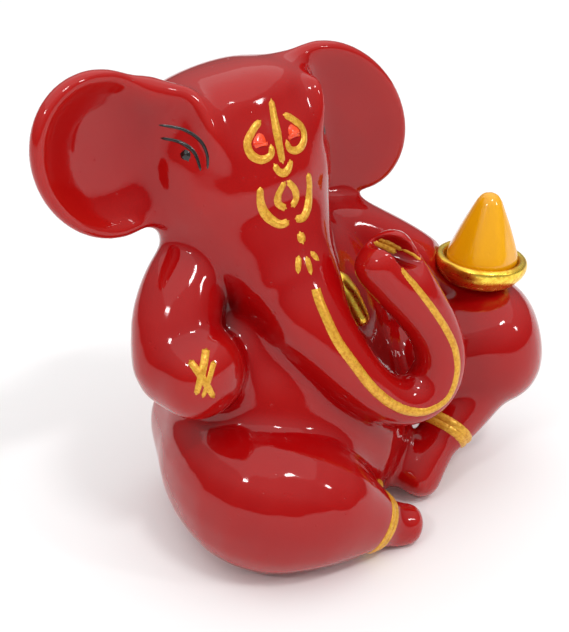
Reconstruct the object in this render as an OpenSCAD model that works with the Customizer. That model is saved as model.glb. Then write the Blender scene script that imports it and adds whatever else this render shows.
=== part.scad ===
// Seated elephant-headed idol for a small shrine or a dashboard.
// Slip-cast and luted clay parts under a glossy glaze, with gilded and painted details.
// +Z is up, the idol faces -Y, and its own left hand is on +X.

/* [Idol] */
// Height of the crown above the shelf
crown_height = 78; // [72:0.5:90]
// Half width of the head between the ears
head_half_width = 16; // [14:0.5:19]
// Thickness of the cast clay wall
wall = 3; // [2:0.25:4]
// Radius of the pour hole under the torso
pour_hole_r = 5; // [3:0.5:7]

/* [Ears] */
// Half width of an ear disc
ear_half_width = 12.6; // [11:0.2:15]
// Half height of an ear disc
ear_half_height = 13.8; // [12:0.2:16]
// Thickness of an ear at its rim
ear_thickness = 3.4; // [2.6:0.2:5]
// Depth of the hollow in an ear's front
ear_cup_depth = 3.2; // [1:0.2:4]

/* [Trunk] */
// Half width of the trunk where it leaves the cheeks
trunk_r = 5.8; // [4.5:0.1:7]

/* [Hands and sweet] */
// Radius of the blessing hand
hand_r = 7.4; // [5.6:0.2:8.4]
// Outer radius of the gilded dish
dish_r = 8; // [6:0.2:9]
// Height of the dish
dish_height = 4.4; // [3.5:0.1:6]
// Height of the sweet above the dish's rim
sweet_height = 12; // [9:0.5:14]

/* [Legs] */
// Radius of the folded right leg at the knee
knee_right_r = 13.6; // [11:0.2:15]
// Radius of the raised left knee
knee_left_r = 11.8; // [9:0.2:13]
// Radius of the feet
foot_r = 4.8; // [4:0.1:6]

/* [Paint and gilding] */
// Width of a gold paint line
line_width = 1; // [0.7:0.1:1.5]
// Width of the gold hem above each foot
anklet_width = 1.8; // [1.2:0.2:3]
// How far the gold hem stands out
anklet_raise = 0.3; // [0.2:0.1:0.6]

/* [Hidden] */

red = "firebrick";
gold = "gold";
face_x = -1.6;     // the face's middle line, a little to the idol's right of the shelf's middle
sink = 1.4;        // depth of the dish
paint = 0.3;       // height of a painted or gilded relief
half_line = line_width / 2;
sides = 20;        // points round a limb
steps = 3;         // rings between two stations
cone = 0.8;        // how far the middle of a cut end stands out

// ---- Smooth paths ----

// A point between stations i and i + 1 of a list, on a Catmull-Rom curve.
function between(p, i, t) =
    let (a = p[max(i - 1, 0)], b = p[i], c = p[min(i + 1, len(p) - 1)], d = p[min(i + 2, len(p) - 1)])
    0.5 * (2 * b + (c - a) * t + (2 * a - 5 * b + 4 * c - d) * t * t + (3 * b - a - 3 * c + d) * t * t * t);
// The station at place s, where s runs from 0 to len(p) - 1.
function station_at(p, s) = let (i = min(floor(s), len(p) - 2)) between(p, i, s - i);
function unit(v) = v / norm(v);
function place(q) = [q[0], q[1], q[2]];
function heading(p, s) =
    unit(place(station_at(p, min(s + 0.02, len(p) - 1))) - place(station_at(p, max(s - 0.02, 0))));
// The two directions across a path: the reference direction squared to the path, and the one beside it.
function across(p, s, ref) = let (t = heading(p, s), a = unit(ref - (ref * t) * t)) [a, cross(t, a)];
// Rounds an oval out towards a soft square.
function soft(c) = sign(c) * pow(abs(c), 0.88);
// One oval ring. turn moves its points round by a share of a step.
function ring(p, s, ref, grow, shrink = 1, shift = 0, turn = 0) =
    let (q = station_at(p, s), f = across(p, s, ref), t = heading(p, s))
    [for (k = [0:sides - 1]) let (a = 360 * (k + turn) / sides)
        place(q) + shift * t
        + shrink * ((q[3] + grow) * soft(cos(a)) * f[0] + (q[4] + grow) * soft(sin(a)) * f[1])];
// A dome of rings past the end s of a path. way is 1 past its last station and -1 before its first.
// Each ring is half a step round from the one before, so no two triangles lie in one plane.
function dome(p, s, ref, grow, rise, way) = let (n = 5)
    [for (k = way > 0 ? [1:n - 1] : [n - 1:-1:1]) let (a = 90 * k / n)
        ring(p, s, ref, grow, pow(cos(a), 0.8), way * rise * sin(a), way * k / 2)];

// A closed solid through a list of rings.
module skin(rings, first_tip, last_tip) {
    n = len(rings[0]);
    m = len(rings);
    points = [first_tip, for (r = rings) each r, last_tip];
    faces = [
        for (k = [0:n - 1]) [0, 1 + k, 1 + (k + 1) % n],
        for (j = [0:m - 2]) for (k = [0:n - 1])
            let (a = 1 + j * n + k, b = 1 + j * n + (k + 1) % n, c = a + n, d = b + n)
            each [[a, c, b], [b, c, d]],
        for (k = [0:n - 1]) [1 + m * n, 1 + (m - 1) * n + (k + 1) % n, 1 + (m - 1) * n + k]
    ];
    polyhedron(points, faces, convexity = 8);
}

// A limb along stations, from place s0 to s1, with a dome of the given rise at each end. An end without a dome
// is a low cone that points along the path, so two limbs that share a station meet face to face there.
module limb(p, ref, s0 = 0, s1 = undef, rise = [0, 0], grow = 0) {
    end = is_undef(s1) ? len(p) - 1 : s1;
    count = max(2, round((end - s0) * steps));
    body = [for (k = [0:count]) ring(p, s0 + (end - s0) * k / count, ref, grow)];
    rings = [
        if (rise[0] > 0) each dome(p, s0, ref, grow, rise[0] + grow, -1),
        each body,
        if (rise[1] > 0) each dome(p, end, ref, grow, rise[1] + grow, 1)
    ];
    first = place(station_at(p, s0)) - (rise[0] > 0 ? rise[0] + grow : -cone) * heading(p, s0);
    last = place(station_at(p, end)) + (rise[1] > 0 ? rise[1] + grow : cone) * heading(p, end);
    skin(rings, first, last);
}

// Joins what it is given into one mesh.
module one_mesh() {
    resize([0, 0, 0]) children();
}

module above_shelf() {
    intersection() {
        children();
        translate([-100, -100, 0]) cube([200, 200, 200]);
    }
}

// ---- Stations: [x, y, z, half size towards the reference direction, half size across it] ----

front = [0, -1, 0];   // reference direction of the head, trunk and torso
up = [0, 0, 1];       // reference direction of the arms, legs and feet

head_path = [
    [-3, 12.4, crown_height - 5.8, 11, 14.4],
    [-2.4, 11.6, crown_height - 11, 12.6, head_half_width - 0.4],
    [-1.8, 10.5, 61, 13.2, head_half_width],
    [-1.4, 7.8, 54.5, 12.6, 14.6],
    [-1, 2.6, 48.5, 10.2, 11.3],
    [-0.6, -1.8, 44.2, 8.4, 9],
    [0, -6.2, 39.8, 6.9, 7.2],
    [2, -9.8, 35.2, 5.6, trunk_r],
    [5, -12.6, 30.2, 4.9, 4.9],
    [9.2, -14.6, 26, 4.4, 4.3],
    [13.8, -16, 24, 4.2, 4.1],
    [18, -17, 25.6, 4.2, 4.3],
    [19.6, -17.2, 30.4, 4.2, 4.4],
    [18.6, -16.4, 35.8, 4.2, 4.3],
    [16, -15, 41, 4.3, 4.6],
    [13, -13.2, 46, 4.4, 5.2],
    [10.8, -11.6, 50, 4.2, 5.4]
];
trunk_seam = 5;   // station where the trunk is luted to the head

torso_path = [
    [1, 8, -6, 12, 16],
    [2, 6, 2, 15.6, 18.6],
    [3.6, 4, 9, 18.6, 21],
    [4, 3.4, 16, 18.8, 22],
    [3.4, 4, 24, 17, 21],
    [3.4, 5.6, 32, 14.8, 19.8],
    [2.4, 8, 40, 12.6, 18],
    [0.5, 10.5, 48, 10.5, 12.5],
    [0, 12, 54, 9.5, 9.5]
];

upper_arm_right_path = [
    [-12, 8, 49.6, 5.6, 5.6],
    [-15.4, 6.2, 45.8, 6.6, 6.6],
    [-18.6, 4, 40.6, 7.2, 7.2],
    [-20, 1.8, 35.6, 7.3, 7.3]
];
forearm_right_path = [
    [-19.8, 3, 35.2, 7, 7],
    [-18.8, -2.6, 35.4, hand_r, hand_r]
];
arm_left_path = [
    [14, 9, 46.5, 5.5, 5.5],
    [21, 7.5, 44.4, 5.8, 5.8],
    [28, 4, 40.4, 5.4, 5.4],
    [34.5, -0.5, 35.5, 5, 5],
    [39, -5.4, 33.4, 5.2, 5]
];
leg_right_path = [
    [-6, 14, 13, 10.4, 11],
    [-8.4, 7, 13, 11.8, 11.8],
    [-10.9, -0.8, 12.7, knee_right_r - 1, knee_right_r - 1],
    [-10.2, -8.4, 12.4, knee_right_r - 0.4, knee_right_r],
    [-5, -14.2, 10.6, 11.4, 11.6],
    [1, -17.8, 7.4, 7.6, 7.6],
    [5.4, -19.4, 4.8, 4.4, 4.6]
];
thigh_left_path = [
    [10, 11, 13, 11, 11],
    [20, 6, 16.5, 10.5, 11],
    [29.5, -2, 21, 10.2, 11],
    [39.8, -9.8, 23.9, knee_left_r - 0.4, knee_left_r + 0.2]
];
shin_left_path = [
    [36.8, -10.2, 19.4, 8, 8.4],
    [30.6, -12, 14, 5.7, 5.9],
    [26.2, -12.8, 10.8, 4.3, 4.5]
];
foot_right_path = [
    [4.2, -18.2, 5.2, 3.9, 3.9],
    [7.2, -20, 3.8, foot_r - 0.7, foot_r - 0.8],
    [9.5, -21.4, 3.4, 3.7, 3.4]
];
foot_left_path = [
    [26.2, -12.8, 10.8, 3.8, 3.8],
    [22.3, -12.9, 7.4, foot_r - 0.6, foot_r - 0.6],
    [19.8, -13.4, 4.2, foot_r - 0.5, foot_r - 0.6]
];
dish_place = [39, -7, 39.9];

// ---- Outer forms, used by the parts and to cut their neighbours ----

module head_form(grow = 0) {
    limb(head_path, front, 0, trunk_seam, [6, 0], grow);
    brow(1);
    brow(-1);
}
// The crest that runs on from an ear's rim, over the eye, and fades down the cheek. side is 1 for the right.
module brow(side) {
    top = side > 0 ? [[15.4, 9.6, 77.2, 1.5], [11.6, 6.8, 76.8, 1.6]] : [[11.6, 7.4, 74.4, 1.2]];
    limb([for (q = [each top, [10.4, 4.5, 74.9, 1.5], [10, 2.8, 72, 1.6], [9.2, 1.8, 68.5, 1.5], [7.8, 0.9, 63, 1.2]])
            [face_x - side * q[0], q[1], q[2], q[3], q[3]]],
        front, rise = [1, 1]);
}
module trunk_form() {
    limb(head_path, front, trunk_seam, len(head_path) - 1, [0, 3.4]);
}
module torso_form(grow = 0) {
    limb(torso_path, front, rise = [0, 0], grow = grow);
}
module arm_right_form() {
    limb(upper_arm_right_path, up, rise = [4, 5.5]);
    limb(forearm_right_path, up, rise = [5, hand_r - 1]);
}
module arm_left_form() { limb(arm_left_path, up, rise = [5, 4.4]); }
module leg_right_form(grow = 0) { limb(leg_right_path, up, rise = [8, 2], grow = grow); }
module leg_left_form(grow = 0) {
    limb(thigh_left_path, up, rise = [6, knee_left_r - 2.5], grow = grow);
    limb(shin_left_path, up, rise = [5, 2], grow = grow);
}
module foot_right_form() { limb(foot_right_path, up, rise = [3, 3]); }
module foot_left_form() { limb(foot_left_path, up, rise = [3, 3.6]); }

// An ear is a cupped oval disc that faces -Y, made as rings from its front centre over the rim to its back.
// Each ring is [share of the ear's size, depth behind the rim].
function ear_profile(c) = let (t = ear_thickness)
    [[0.3, c * 0.92], [0.55, c * 0.75], [0.75, c * 0.42], [0.88, c * 0.08], [0.955, -0.25],
     [1, t * 0.28], [0.985, t * 0.62], [0.91, t * 0.98], [0.7, t + c * 0.5], [0.35, t + c * 0.9]];
// lean moves the top of the outline across and its foot the other way. cup is the depth of the hollow, and
// tall is a share of the ear's height.
module ear_form(lean, cup, tall = 1) {
    n = 32;
    rings = [for (j = [0:len(ear_profile(cup)) - 1]) let (q = ear_profile(cup)[j])
        [for (k = [0:n - 1]) let (a = -360 * (k + j / 2) / n)
            [q[0] * (ear_half_width * cos(a) + lean * sin(a)), q[1], tall * ear_half_height * q[0] * sin(a)]]];
    skin(rings, [0, cup, 0], [0, ear_thickness + cup, 0]);
}

module ear_right_form() {
    translate([-25.1, 8.5, 69.2]) rotate([0, -7, 0]) rotate([0, 0, 6]) ear_form(-2.3, ear_cup_depth);
}
module ear_left_form() {
    translate([19.3, 9, 64.9]) rotate([0, -8, 0]) rotate([0, 0, -8]) ear_form(-4.4, ear_cup_depth * 0.4, 1.08);
}

// ---- Clay parts ----

// The passage that joins the hollow of the head to the hollow of the torso.
module neck_channel() {
    translate([-0.5, 11.5, 44]) cylinder(h = 14, r = 4, $fn = 32);
}
module torso() {
    color(red) one_mesh() difference() {
        above_shelf() torso_form();
        limb(torso_path, front, 1.2, 6, [0, 0], -wall);
        translate([2, 7, -1]) cylinder(h = 20, r = pour_hole_r, $fn = 40);
        neck_channel();
    }
}
module head() {
    color(red) one_mesh() difference() {
        head_form();
        torso_form();
        limb(head_path, front, 0, 3.2, [6, 0], -wall);
        neck_channel();
    }
}
// The oval hollow at the end of the trunk, moved out of it by out.
module nostril_hollow(out = 0) {
    translate([12.7, -14.5, 50.5]) rotate([0, -32, 0]) rotate([-38, 0, 0])
        translate([0, -out * 0.6, out]) scale([1.8, 2.2, 4.4]) sphere(r = 1, $fn = 24);
}
module trunk() {
    color(red) one_mesh() difference() {
        trunk_form();
        torso_form();
        nostril_hollow();
    }
}
module ear_right() {
    color(red) one_mesh() difference() {
        ear_right_form();
        head_form();
    }
}
module ear_left() {
    color(red) one_mesh() difference() {
        ear_left_form();
        head_form();
    }
}
module arm_right() {
    color(red) one_mesh() difference() {
        arm_right_form();
        torso_form();
        head_form();
        ear_right_form();
        leg_right_form();
    }
}
module arm_left() {
    color(red) one_mesh() difference() {
        arm_left_form();
        torso_form();
        head_form();
        ear_left_form();
        leg_left_form();
        dish_seat();
    }
}
module leg_right() {
    color(red) one_mesh() difference() {
        above_shelf() leg_right_form();
        torso_form();
    }
}
module leg_left() {
    color(red) one_mesh() difference() {
        above_shelf() leg_left_form();
        torso_form();
        leg_right_form();
        trunk_form();
        dish_seat();
    }
}
module foot_right() {
    color(red) one_mesh() difference() {
        above_shelf() foot_right_form();
        leg_right_form();
        torso_form();
    }
}
module foot_left() {
    color(red) one_mesh() difference() {
        above_shelf() foot_left_form();
        leg_left_form();
        torso_form();
        leg_right_form();
    }
}

// ---- Dish and sweet ----

module dish() {
    color(gold) translate(dish_place) rotate([0, 5, 0]) translate([0, 0, -dish_height])
        rotate_extrude($fn = 48) polygon([[0, 0], [dish_r - 3, 0], [dish_r - 1, 0.9], [dish_r - 0.1, 2.2],
            [dish_r, 3.2], [dish_r - 0.4, dish_height - 0.4], [dish_r - 1, dish_height],
            [dish_r - 1.5, dish_height - 0.3], [dish_r - 1.8, dish_height - sink], [0, dish_height - sink]]);
}
// The seat that the dish leaves in the hand, with a glaze joint's play.
module dish_seat() {
    play = 0.05;
    translate(dish_place) rotate([0, 5, 0]) translate([0, 0, -dish_height - play])
        rotate_extrude($fn = 48) polygon([[0, 0], [dish_r - 3 + play, 0], [dish_r - 1 + play, 0.9],
            [dish_r - 0.1 + play, 2.2], [dish_r + play, 3.2], [dish_r + play, dish_height + 6], [0, dish_height + 6]]);
}
module sweet() {
    color("orange") translate(dish_place) rotate([0, 5, 0])
        rotate_extrude($fn = 48) polygon([[0, -sink], [dish_r - 2.1, -sink], [dish_r - 2, 0.3], [5.6, 2.2],
            [4.5, 5.2], [3.3, 8], [2.3, sweet_height - 1.9], [1.3, sweet_height - 0.6], [0, sweet_height]]);
}

// ---- Gilding and paint: thin reliefs that lie on the clay ----

module tusk() {
    color(gold) one_mesh() difference() {
        limb([[5, 1, 45.5, 1.5, 1.5], [8.4, -4, 43, 1.9, 1.9], [9.6, -8, 38, 1.5, 1.5]], up, rise = [1.5, 1.5]);
        head_form();
        trunk_form();
        torso_form();
    }
}
module nostril_gilding() {
    color(gold) one_mesh() intersection() {
        trunk_form();
        difference() {
            nostril_hollow();
            nostril_hollow(paint);
        }
    }
}
module anklet_right() {
    s1 = len(leg_right_path) - 1;
    color(gold) one_mesh() difference() {
        above_shelf() limb(leg_right_path, up, s1 - anklet_width / 5, s1, grow = anklet_raise);
        leg_right_form();
        foot_right_form();
        torso_form();
    }
}
module anklet_left() {
    s1 = len(shin_left_path) - 1;
    color(gold) one_mesh() difference() {
        above_shelf() limb(shin_left_path, up, s1 - anklet_width / 6, s1, grow = anklet_raise);
        leg_left_form();
        foot_left_form();
        torso_form();
    }
}

// A brush stroke through flat points [x, y], as wide as two times the listed radii at its ends and middle.
module stroke(points, r0, r1, r2) {
    n = len(points) - 1;
    function flat(s) = let (i = min(floor(s), n - 1)) between(points, i, s - i);
    function r(s) = s < n / 2 ? r0 + (r1 - r0) * s / (n / 2) : r1 + (r2 - r1) * (s - n / 2) / (n / 2);
    for (j = [0:n * 3 - 1]) hull() {
        translate(flat(j / 3)) circle(r = r(j / 3), $fn = 14);
        translate(flat((j + 1) / 3)) circle(r = r((j + 1) / 3), $fn = 14);
    }
}
// Lays flat artwork (x to the idol's left, y up) on the front of the face as a thin relief.
module on_face() {
    color(gold) one_mesh() difference() {
        intersection() {
            union() {
                head_form(paint);
                limb(head_path, front, trunk_seam - 1, len(head_path) - 1, grow = paint);
            }
            translate([face_x, 4, 0]) rotate([90, 0, 0]) linear_extrude(40) children();
        }
        head_form();
        trunk_form();
    }
}
module forehead_mark() {
    on_face() {
        stroke([[0.7, 75.2], [0.3, 72], [0, 69], [0, 65.6]], half_line * 0.8, half_line * 1.1, half_line * 0.7);
        for (side = [-1, 1]) scale([side, 1])
            stroke([[1.9, 72.6], [3.6, 71.6], [5.3, 69.8], [5, 68], [3.4, 67.1], [1.8, 67.6], [1.5, 69.2]],
                half_line * 0.7, half_line, half_line * 0.7);
        stroke([[-1.7, 66.4], [-1, 64.9], [0.2, 64.5], [1.3, 65.4], [1.4, 66.4]],
            half_line * 0.6, half_line, half_line * 0.6);
    }
}
module mark_drops() {
    color("orangered") on_face() for (side = [-1, 1]) scale([side, 1])
        stroke([[2.6, 70.4], [3.3, 69.6], [3.5, 69]], 0.35, 0.95, 0.9);
}
module lotus_mark() {
    on_face() {
        for (side = [-1, 1]) scale([side, 1]) {
            stroke([[4.6, 63.6], [4.8, 61], [4, 58.6], [2.2, 57.1], [0.2, 57.4]],
                half_line * 0.8, half_line * 1.1, half_line * 0.7);
            stroke([[0, 63.4], [1.5, 61.6], [1.7, 60], [0.2, 58.9]],
                half_line * 0.6, half_line, half_line * 0.6);
        }
    }
}
module brow_dashes() {
    on_face() {
        stroke([[0.8, 55.4], [0.8, 54.4], [0.8, 53.6]], 0.3, 0.6, 0.4);
        stroke([[-0.5, 52.4], [-1.2, 51], [-1.7, 49.8]], 0.35, 0.45, 0.25);
        stroke([[0.7, 52], [0.6, 50.6], [0.5, 49.2]], 0.35, 0.45, 0.25);
        stroke([[1.7, 52.4], [2.3, 51.4], [2.9, 50.6]], 0.35, 0.45, 0.25);
    }
}
// A point on the face and trunk, at place s and angle a round the section, where 0 is the front.
function on_skin(s, a) = let (q = station_at(head_path, s), f = across(head_path, s, front))
    place(q) + q[3] * soft(cos(a)) * f[0] + q[4] * soft(sin(a)) * f[1];
module trunk_line() {
    count = 30;
    path = [for (k = [0:count]) let (s = 4.95 + 10.65 * k / count, q = on_skin(s, 0))
        [q[0], q[1], q[2], half_line * (k < 24 ? 1 : 0.7), half_line]];
    color(gold) one_mesh() difference() {
        intersection() {
            skin([for (j = [0:count]) ring(path, j, up, 0)], place(path[0]), place(path[count]));
            limb(head_path, front, 4, len(head_path) - 1, grow = paint);
        }
        head_form();
        trunk_form();
    }
}
module palm_strokes() {
    color(gold) one_mesh() difference() {
        intersection() {
            limb(forearm_right_path, up, rise = [5, hand_r - 1], grow = paint);
            translate(place(forearm_right_path[1])) rotate([60, 0, -24]) linear_extrude(12) {
                stroke([[-2.4, 2.5], [-0.7, -0.7], [1, -4]], 0.5, 0.45, 0.3);
                stroke([[0.6, 4], [-0.6, 0.4], [-1.9, -3.2]], 0.5, 0.45, 0.3);
                stroke([[1.5, 1.9], [0.3, -0.9], [-0.9, -3.7]], 0.35, 0.35, 0.25);
            }
        }
        arm_right_form();
    }
}
// An eye is drawn on the side of the head: points are [forward, up].
module eye_on(side) {
    color("black") one_mesh() difference() {
        intersection() {
            head_form(paint);
            multmatrix([[0, 0, -side, face_x], [-1, 0, 0, side > 0 ? 0 : 0.6], [0, 1, 0, 0]])
                linear_extrude(30) eye_lines();
        }
        head_form();
    }
}
module eye_lines() {
    stroke([[-9.4, 72.6], [-5.8, 72.2], [-3.3, 70.8], [-2.3, 68.8], [-2.2, 66.7]], 0.2, 0.3, 0.2);
    stroke([[-9.2, 70.6], [-6.2, 70.3], [-4.1, 69], [-3.1, 66.4]], 0.2, 0.3, 0.2);
    stroke([[-5.6, 69.1], [-5.4, 68.5], [-5.2, 67.9]], 0.5, 0.7, 0.5);
}
module eye_right() { eye_on(1); }
module eye_left() { eye_on(-1); }

torso();
head();
trunk();
ear_right();
ear_left();
arm_right();
arm_left();
leg_right();
leg_left();
foot_right();
foot_left();
dish();
sweet();
tusk();
nostril_gilding();
anklet_right();
anklet_left();
forehead_mark();
mark_drops();
lotus_mark();
brow_dashes();
trunk_line();
palm_strokes();
eye_right();
eye_left();
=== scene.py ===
# %% [markdown]
# # A seated elephant-headed idol in red glazed ceramic
# The real figure is a small shrine piece. Its body is cast in clay, its ears, arms and feet are stuck on
# with slip, and one thick coat of glossy red glaze runs over all of it, so the joints show only as soft
# creases. Gold is then brushed on for the marks, and a gilded dish carries a yellow sweet. This lesson
# takes the CAD solids as a fixed frame, melts them into one glazed skin, and paints the lines on it.

# %% Start: load the CAD frame
import math

import bpy
import numpy as np
import openvdb
from mathutils import Matrix, Vector


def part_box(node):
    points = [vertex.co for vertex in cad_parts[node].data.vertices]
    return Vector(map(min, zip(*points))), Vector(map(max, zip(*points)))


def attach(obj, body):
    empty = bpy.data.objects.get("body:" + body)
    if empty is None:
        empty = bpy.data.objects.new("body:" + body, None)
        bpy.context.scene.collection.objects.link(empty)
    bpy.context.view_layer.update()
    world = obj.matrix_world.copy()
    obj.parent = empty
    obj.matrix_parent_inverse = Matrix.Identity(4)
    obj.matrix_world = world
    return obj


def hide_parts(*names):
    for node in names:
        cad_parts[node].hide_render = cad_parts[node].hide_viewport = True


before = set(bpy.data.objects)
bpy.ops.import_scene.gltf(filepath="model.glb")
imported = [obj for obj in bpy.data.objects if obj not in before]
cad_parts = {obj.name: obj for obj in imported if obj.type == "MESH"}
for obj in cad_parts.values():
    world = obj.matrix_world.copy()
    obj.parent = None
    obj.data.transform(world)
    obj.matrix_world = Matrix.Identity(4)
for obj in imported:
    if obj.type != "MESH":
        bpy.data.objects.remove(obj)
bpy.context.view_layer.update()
MM = 0.001

# %% [markdown]
# ## The camera
# The figure is seen from its right front and from a little above, from near by, as it stands on a table.
# A camera can be turned by angles or aimed at a point. Aiming is easier to get right: the aim is the
# middle of the figure at about half its height, and the camera's place follows from a turn, a rise and a
# distance.

# %% Camera
AIM = Vector((0, 0, 38)) * MM
TURN, RISE, DISTANCE = math.radians(-38), math.radians(29), 200 * MM
SENSOR, LENS = 36, 68.9

away = Vector((math.sin(TURN) * math.cos(RISE), -math.cos(TURN) * math.cos(RISE), math.sin(RISE)))
camera_data = bpy.data.cameras.new("camera")
camera_data.lens, camera_data.sensor_width, camera_data.sensor_fit = LENS, SENSOR, "AUTO"
camera_data.clip_start = 0.01
camera = bpy.data.objects.new("camera", camera_data)
bpy.context.scene.collection.objects.link(camera)
camera.location = AIM + away * DISTANCE
camera.rotation_euler = (-away).to_track_quat("-Z", "Y").to_euler()
bpy.context.scene.camera = camera
bpy.context.scene.view_settings.view_transform = "Standard"
print("camera at mm:", [round(c / MM, 1) for c in camera.location])

# %% [markdown]
# ## Two helpers for materials
# Paint makers give colours as sRGB hex values, but Blender's shader sockets want linear light, so one
# function turns one into the other. A material is a graph of nodes. One small function adds a node, sets
# it up and joins it to others: a value that is a socket is linked, and any other value is typed into the
# input.

# %% Colour and node helpers
def linear(code):
    """An sRGB hex colour as four linear numbers."""
    parts = [int(code[i:i + 2], 16) / 255 for i in (0, 2, 4)]
    return [c / 12.92 if c <= 0.04045 else ((c + 0.055) / 1.055) ** 2.4 for c in parts] + [1.0]


def put(tree, kind, inputs=None, **settings):
    """Adds a node with its settings, and gives each named or numbered input a value or a link."""
    made = tree.nodes.new(kind)
    for name, value in settings.items():
        setattr(made, name, value)
    for name, value in (inputs or {}).items():
        if isinstance(value, bpy.types.NodeSocket):
            tree.links.new(value, made.inputs[name])
        else:
            made.inputs[name].default_value = value
    return made


def material(name):
    """An empty material with its tree, and the Principled shader joined to the output."""
    made = bpy.data.materials.new(name)
    made.use_nodes = True
    made.node_tree.nodes.clear()
    shader = put(made.node_tree, "ShaderNodeBsdfPrincipled")
    put(made.node_tree, "ShaderNodeOutputMaterial", {"Surface": shader.outputs[0]})
    return made, made.node_tree, shader


def per_mm(size):
    """The Scale of a noise or a cell pattern whose features are about this many millimetres across."""
    return 1 / (size * MM)


# %% [markdown]
# ## Red glaze
# The skin is a thick, glossy, strongly coloured glaze over pale clay. Its colour is darkest in the
# creases, partly for the glaze that pools there and partly as painted shade, and a little lighter where it
# pulls thin over an edge. Its surface is never quite flat: it has a slight orange peel, with waves a few
# millimetres long, and a few pinholes. A Principled shader with a thin clear coat gives the sharp
# highlight over the softer one of the coloured layer. How crowded the clay is round each point is stored
# on the mesh, and the dark crease colour, pooled glaze and painted shade, follows it.

# %% Red glaze
def ceramic(name, thin, main, deep_pool_shade, wave=2.6, peel=0.04, rough=0.07, coat=0.08):
    """A glazed ceramic finish in three colours: over edges, in the open, and in the creases, the last darker
    for pooled glaze and as painted shade.
    """
    made, tree, shader = material(name)
    place = put(tree, "ShaderNodeTexCoord").outputs["Object"]
    cloud = put(tree, "ShaderNodeTexNoise",
                {"Vector": place, "Scale": per_mm(9), "Detail": 3.0, "Roughness": 0.55})
    # The crowding attribute darkens the creases: pooled glaze and painted shade.
    pool_shade = put(tree, "ShaderNodeAttribute", attribute_name="pool_shade")
    spread = put(tree, "ShaderNodeMath", {0: cloud.outputs["Fac"], 1: 0.16, 2: pool_shade.outputs["Fac"]},
                 operation="MULTIPLY_ADD")
    centred = put(tree, "ShaderNodeMath", {0: spread.outputs[0], 1: 0.08}, operation="SUBTRACT")
    shades = put(tree, "ShaderNodeValToRGB", {"Fac": centred.outputs[0]})
    ramp = shades.color_ramp
    ramp.elements[0].position, ramp.elements[0].color = 0.30, linear(thin)
    # The deep colour in the creases is pooled glaze and painted shade.
    ramp.elements[1].position, ramp.elements[1].color = 0.80, linear(deep_pool_shade)
    middle = ramp.elements.new(0.52)
    middle.color = linear(main)
    peel_wave = put(tree, "ShaderNodeTexNoise", {"Vector": place, "Scale": per_mm(wave), "Detail": 2.0})
    fine = put(tree, "ShaderNodeTexNoise", {"Vector": place, "Scale": per_mm(0.7), "Detail": 1.0})
    holes = put(tree, "ShaderNodeTexVoronoi", {"Vector": place, "Scale": per_mm(2.4), "Randomness": 1.0})
    pit = put(tree, "ShaderNodeMapRange",
              {"Value": holes.outputs["Distance"], "From Min": 0.05, "From Max": 0.11, "To Min": 0.0,
               "To Max": 1.0}, interpolation_type="SMOOTHSTEP")
    skin_bump = put(tree, "ShaderNodeBump", {"Strength": peel, "Distance": 0.6 * MM,
                                             "Height": peel_wave.outputs["Fac"]})
    fine_bump = put(tree, "ShaderNodeBump",
                    {"Strength": 0.02, "Distance": 0.2 * MM, "Height": fine.outputs["Fac"],
                     "Normal": skin_bump.outputs[0]})
    pit_bump = put(tree, "ShaderNodeBump", {"Strength": 0.25, "Distance": 0.12 * MM, "Height": pit.outputs[0],
                                            "Normal": fine_bump.outputs[0]})
    sheen = put(tree, "ShaderNodeMapRange", {"Value": cloud.outputs["Fac"], "From Min": 0.3, "From Max": 0.7,
                                             "To Min": rough * 0.8, "To Max": rough * 1.3})
    for socket, value in {"Base Color": shades.outputs[0], "Roughness": sheen.outputs[0],
                          "Normal": pit_bump.outputs[0]}.items():
        tree.links.new(value, shader.inputs[socket])
    for socket, value in {"IOR": 1.42, "Coat Weight": coat, "Coat Roughness": 0.03, "Coat IOR": 1.5}.items():
        shader.inputs[socket].default_value = value
    return made


# The darkest red is laid in the creases as pooled glaze and painted shade.
red_glaze = ceramic("red glaze on clay", thin="b0120e", main="a00508", deep_pool_shade="3c0103")
print("made", red_glaze.name)

# %% [markdown]
# ## Gold, in two ways
# Liquid gold lustre on the dish is a mirror-like film with faint brush streaks, so it is a true metal
# with a stretched noise in its roughness and its bump. The liner gold of the marks is bronze powder in a
# varnish: duller, more yellow, thicker at the middle of a stroke and thin enough at the ends for the red
# to warm it.

# %% Gold finishes
def gilding(name, light, dark, rough, metal, streak, stretch):
    """A gold finish whose streaks are streak mm wide and longer by stretch times across the piece."""
    made, tree, shader = material(name)
    place = put(tree, "ShaderNodeTexCoord").outputs["Object"]
    brushed = put(tree, "ShaderNodeMapping", {"Vector": place, "Scale": (1, 1 / stretch, 1),
                                              "Rotation": (0.3, 0.2, 0.5)})
    lines = put(tree, "ShaderNodeTexNoise",
                {"Vector": brushed.outputs[0], "Scale": per_mm(streak), "Detail": 4.0, "Roughness": 0.6})
    shades = put(tree, "ShaderNodeValToRGB", {"Fac": lines.outputs["Fac"]})
    shades.color_ramp.elements[0].position, shades.color_ramp.elements[0].color = 0.36, linear(dark)
    shades.color_ramp.elements[1].position, shades.color_ramp.elements[1].color = 0.6, linear(light)
    bump = put(tree, "ShaderNodeBump",
               {"Strength": 0.08, "Distance": 0.12 * MM, "Height": lines.outputs["Fac"]})
    dull = put(tree, "ShaderNodeMapRange", {"Value": lines.outputs["Fac"], "From Min": 0.3, "From Max": 0.7,
                                            "To Min": rough * 1.35, "To Max": rough * 0.7})
    for socket, value in {"Base Color": shades.outputs[0], "Roughness": dull.outputs[0],
                          "Normal": bump.outputs[0]}.items():
        tree.links.new(value, shader.inputs[socket])
    shader.inputs["Metallic"].default_value = metal
    return made


gold_lustre = gilding("gold lustre brushed on glaze", "ffde58", "e6b23c", rough=0.28, metal=1.0, streak=0.8,
                      stretch=6)
gold_liner = gilding("liner gold paint", "edb63c", "cf8a1e", rough=0.34, metal=0.3, streak=0.5, stretch=3)
print("made", gold_lustre.name, "and", gold_liner.name)
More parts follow.
